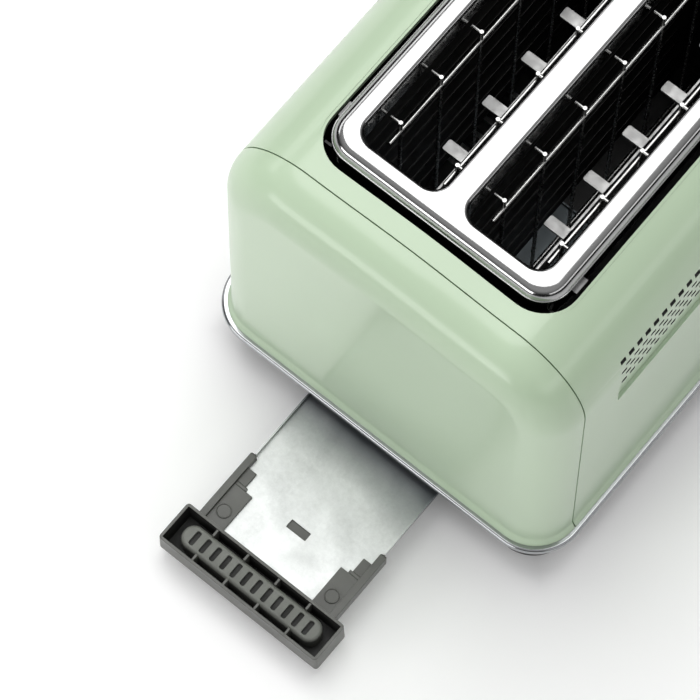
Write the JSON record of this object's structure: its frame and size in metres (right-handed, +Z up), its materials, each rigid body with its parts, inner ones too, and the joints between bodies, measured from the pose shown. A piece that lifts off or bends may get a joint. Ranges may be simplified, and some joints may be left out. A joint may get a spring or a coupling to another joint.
{
  "type": "pop-up toaster",
  "caption": "Retro pop-up toaster with a painted rounded casing, polished slotted top plate, chrome base ring and a crumb tray drawn out at the rear.",
  "frame": {"origin": "on the table plane, under the middle of the chrome base ring", "axes": "+Z up; +Y to the rear, where the crumb tray slides out; the lever and dial are at -Y; +X to the right of someone who faces the lever"},
  "size_m": [0.178, 0.386, 0.188],
  "materials": {
    "body_paint": "satin",
    "cap_paint": "satin",
    "chrome_trim": "polished",
    "polished_steel": "polished",
    "base_plastic": "satin",
    "foot_rubber": "matte",
    "screw_steel": "satin",
    "chassis_steel": "satin",
    "mica": "matte",
    "heating_ribbon": "satin",
    "reflector_steel": "satin",
    "guard_wire": "satin",
    "carriage_steel": "satin",
    "bushing_brass": "satin",
    "magnet_core": "satin",
    "spring_steel": "satin",
    "tray_steel": "satin",
    "handle_plastic": "satin",
    "grip_plastic": "satin",
    "circuit_board": "satin",
    "switch_plastic": "satin",
    "control_plastic": "satin",
    "gland_rubber": "matte"
  },
  "bodies": {
    "chassis": {"main_shell": "body_paint", "rear_end_cap": "cap_paint", "front_end_cap": "cap_paint", "base_trim_ring": "chrome_trim", "base_pan": "base_plastic", "rubber_feet": "foot_rubber", "base_screws": "screw_steel", "cord_gland": "gland_rubber", "top_plate": "polished_steel", "front_chassis_plate": "chassis_steel", "rear_chassis_plate": "chassis_steel", "heater_board_left": "mica", "heater_board_centre": "mica", "heater_board_right": "mica", "heating_ribbons_left": "heating_ribbon", "heating_ribbons_centre": "heating_ribbon", "heating_ribbons_right": "heating_ribbon", "left_heat_shield": "reflector_steel", "right_heat_shield": "reflector_steel", "carriage_guide_rod": "screw_steel", "latch_magnet": "magnet_core", "control_board": "circuit_board", "push_switches": "switch_plastic", "browning_potentiometer": "switch_plastic", "knob_bezel": "chrome_trim", "button_bezels": "chrome_trim", "lever_slot_trim": "chrome_trim"},
    "bread_carriage": {"carriage_bracket": "carriage_steel", "left_bread_lifter": "carriage_steel", "right_bread_lifter": "carriage_steel", "lever_arm": "carriage_steel", "lever_knob": "control_plastic", "carriage_bushing": "bushing_brass", "carriage_spring": "spring_steel", "armature_plate": "screw_steel"},
    "left_outer_guard": {"left_outer_guard": "guard_wire"},
    "left_inner_guard": {"left_inner_guard": "guard_wire"},
    "right_outer_guard": {"right_outer_guard": "guard_wire"},
    "right_inner_guard": {"right_inner_guard": "guard_wire"},
    "crumb_tray": {"crumb_tray_plate": "tray_steel", "tray_handle": "handle_plastic", "tray_grip": "grip_plastic"},
    "browning_dial": {"browning_knob": "control_plastic", "knob_shaft": "screw_steel"},
    "cancel_button": {"cancel_button": "control_plastic"},
    "defrost_button": {"defrost_button": "control_plastic"},
    "reheat_button": {"reheat_button": "control_plastic"}
  },
  "joints": [
    {"name": "carriage_slide", "type": "slide", "parent": "chassis", "child": "bread_carriage", "axis": [0, 0, 1], "range_m": [-0.068, 0], "stiffness_N_per_m": 80, "springref_m": 0.04, "deforming": ["carriage_spring"]},
    {"name": "left_outer_guard_slide", "type": "slide", "parent": "chassis", "child": "left_outer_guard", "axis": [-1, 0, 0], "range_m": [-0.00602, 0]},
    {"name": "left_inner_guard_slide", "type": "slide", "parent": "chassis", "child": "left_inner_guard", "axis": [1, 0, 0], "range_m": [-0.00602, 0]},
    {"name": "right_outer_guard_slide", "type": "slide", "parent": "chassis", "child": "right_outer_guard", "axis": [1, 0, 0], "range_m": [-0.00602, 0]},
    {"name": "right_inner_guard_slide", "type": "slide", "parent": "chassis", "child": "right_inner_guard", "axis": [-1, 0, 0], "range_m": [-0.00602, 0]},
    {"name": "tray_slide", "type": "slide", "parent": "chassis", "child": "crumb_tray", "axis": [0, 1, 0], "range_m": [-0.085, 0.12]},
    {"name": "dial_turn", "type": "hinge", "parent": "chassis", "child": "browning_dial", "pos_m": [0, -0.14, 0.047], "axis": [0, 1, 0], "range_deg": [-135, 135]},
    {"name": "cancel_press", "type": "slide", "parent": "chassis", "child": "cancel_button", "axis": [0, 1, 0], "range_m": [0, 0.002], "stiffness_N_per_m": 400, "springref_m": -0.001},
    {"name": "defrost_press", "type": "slide", "parent": "chassis", "child": "defrost_button", "axis": [0, 1, 0], "range_m": [0, 0.002], "stiffness_N_per_m": 400, "springref_m": -0.001},
    {"name": "reheat_press", "type": "slide", "parent": "chassis", "child": "reheat_button", "axis": [0, 1, 0], "range_m": [0, 0.002], "stiffness_N_per_m": 400, "springref_m": -0.001}
  ],
  "couplings": [
    {"joint": "left_outer_guard_slide", "follows": "carriage_slide", "ratio": 0.08824},
    {"joint": "left_inner_guard_slide", "follows": "carriage_slide", "ratio": 0.08824},
    {"joint": "right_outer_guard_slide", "follows": "carriage_slide", "ratio": 0.08824},
    {"joint": "right_inner_guard_slide", "follows": "carriage_slide", "ratio": 0.08824}
  ]
}
